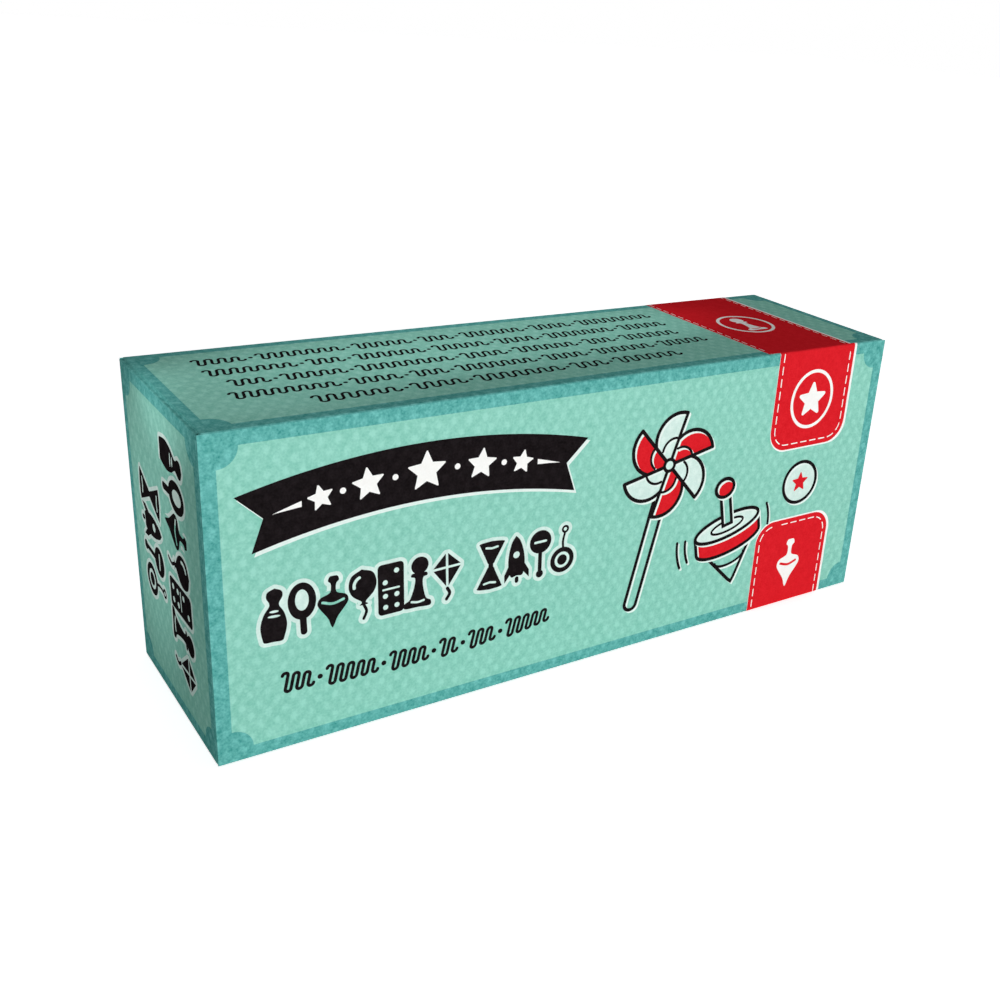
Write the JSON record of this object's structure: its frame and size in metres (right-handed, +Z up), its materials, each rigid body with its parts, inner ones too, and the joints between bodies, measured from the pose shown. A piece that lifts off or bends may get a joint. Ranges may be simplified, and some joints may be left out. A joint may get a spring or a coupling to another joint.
{
  "type": "boxed blow ball pipe toy",
  "caption": "Closed tuck-end carton with a printed mint face and red tabs, holding a wooden blow pipe with a guard ring and its light ball.",
  "frame": {"origin": "middle of the carton's bottom face", "axes": "+X along the carton to the right, +Y to the back panel, +Z up; the pictured end is at -X and the printed front at -Y"},
  "size_m": [0.175, 0.05, 0.07],
  "materials": {
    "printed_board": "printed carton board, mint with a teal frame, satin",
    "plain_board": "bare white inside of the carton board, matte",
    "turned_wood": "pale turned beech, fine sanded",
    "red_paint": "wood painted red, satin",
    "ball_plastic": "light hollow ball, pale, matte",
    "red_print": "red printed band and tabs, satin",
    "black_print": "near-black print, satin",
    "pale_print": "pale print, satin",
    "mint_print": "mint print with a fine mottle, satin"
  },
  "bodies": {
    "carton": {"front_panel": "printed_board", "back_panel": "printed_board", "top_panel": "printed_board", "bottom_panel": "printed_board", "glue_flap": "plain_board"},
    "left_end": {"left_end_flap": "printed_board"},
    "left_tongue": {"left_tuck_tongue": "plain_board"},
    "left_upper_dust": {"left_upper_dust_flap": "plain_board"},
    "left_lower_dust": {"left_lower_dust_flap": "plain_board"},
    "right_end": {"right_end_flap": "printed_board"},
    "right_tongue": {"right_tuck_tongue": "plain_board"},
    "right_upper_dust": {"right_upper_dust_flap": "plain_board"},
    "right_lower_dust": {"right_lower_dust_flap": "plain_board"},
    "pipe": {"pipe_foot": "turned_wood", "pipe_cup": "turned_wood", "air_jet": "turned_wood", "guard_ring": "red_paint", "ring_post_1": "turned_wood", "ring_post_2": "turned_wood", "ring_post_3": "turned_wood", "ring_post_4": "turned_wood", "pipe_stem": "turned_wood"},
    "ball": {"floating_ball": "ball_plastic"}
  },
  "joints": [
    {"name": "left_end_hinge", "type": "hinge", "parent": "carton", "child": "left_end", "pos_m": [-0.0875, 0.025, 0.035], "axis": [0, 0, -1], "range_deg": [0, 165]},
    {"name": "left_tongue_fold", "type": "hinge", "parent": "left_end", "child": "left_tongue", "pos_m": [-0.0875, -0.02435, 0.035], "axis": [0, 0, -1], "range_deg": [0, 41.25]},
    {"name": "left_upper_dust_fold", "type": "hinge", "parent": "carton", "child": "left_upper_dust", "pos_m": [-0.0869, 0, 0.07], "axis": [0, 1, 0], "range_deg": [0, 89.1]},
    {"name": "left_lower_dust_fold", "type": "hinge", "parent": "carton", "child": "left_lower_dust", "pos_m": [-0.0869, 0, 0], "axis": [0, -1, 0], "range_deg": [0, 89.1]},
    {"name": "right_end_hinge", "type": "hinge", "parent": "carton", "child": "right_end", "pos_m": [0.0875, 0.025, 0.035], "axis": [0, 0, 1], "range_deg": [0, 165]},
    {"name": "right_tongue_fold", "type": "hinge", "parent": "right_end", "child": "right_tongue", "pos_m": [0.0875, -0.02435, 0.035], "axis": [0, 0, 1], "range_deg": [0, 41.25]},
    {"name": "right_upper_dust_fold", "type": "hinge", "parent": "carton", "child": "right_upper_dust", "pos_m": [0.0869, 0, 0.07], "axis": [0, -1, 0], "range_deg": [0, 89.1]},
    {"name": "right_lower_dust_fold", "type": "hinge", "parent": "carton", "child": "right_lower_dust", "pos_m": [0.0869, 0, 0], "axis": [0, 1, 0], "range_deg": [0, 89.1]},
    {"name": "pipe_slide", "type": "slide", "parent": "carton", "child": "pipe", "axis": [-1, 0, 0], "range_m": [0, 0.05184]},
    {"name": "ball_roll", "type": "slide", "parent": "pipe", "child": "ball", "axis": [-1, 0, 0], "range_m": [0, 0.08]}
  ],
  "couplings": [
    {"joint": "left_end_hinge", "follows": "pipe_slide", "rad_per_m": 55.552},
    {"joint": "left_tongue_fold", "follows": "pipe_slide", "rad_per_m": 13.888},
    {"joint": "left_upper_dust_fold", "follows": "pipe_slide", "rad_per_m": 29.998},
    {"joint": "left_lower_dust_fold", "follows": "pipe_slide", "rad_per_m": 29.998},
    {"joint": "right_tongue_fold", "follows": "right_end_hinge", "ratio": 0.25},
    {"joint": "right_upper_dust_fold", "follows": "right_end_hinge", "ratio": 0.54},
    {"joint": "right_lower_dust_fold", "follows": "right_end_hinge", "ratio": 0.54}
  ]
}
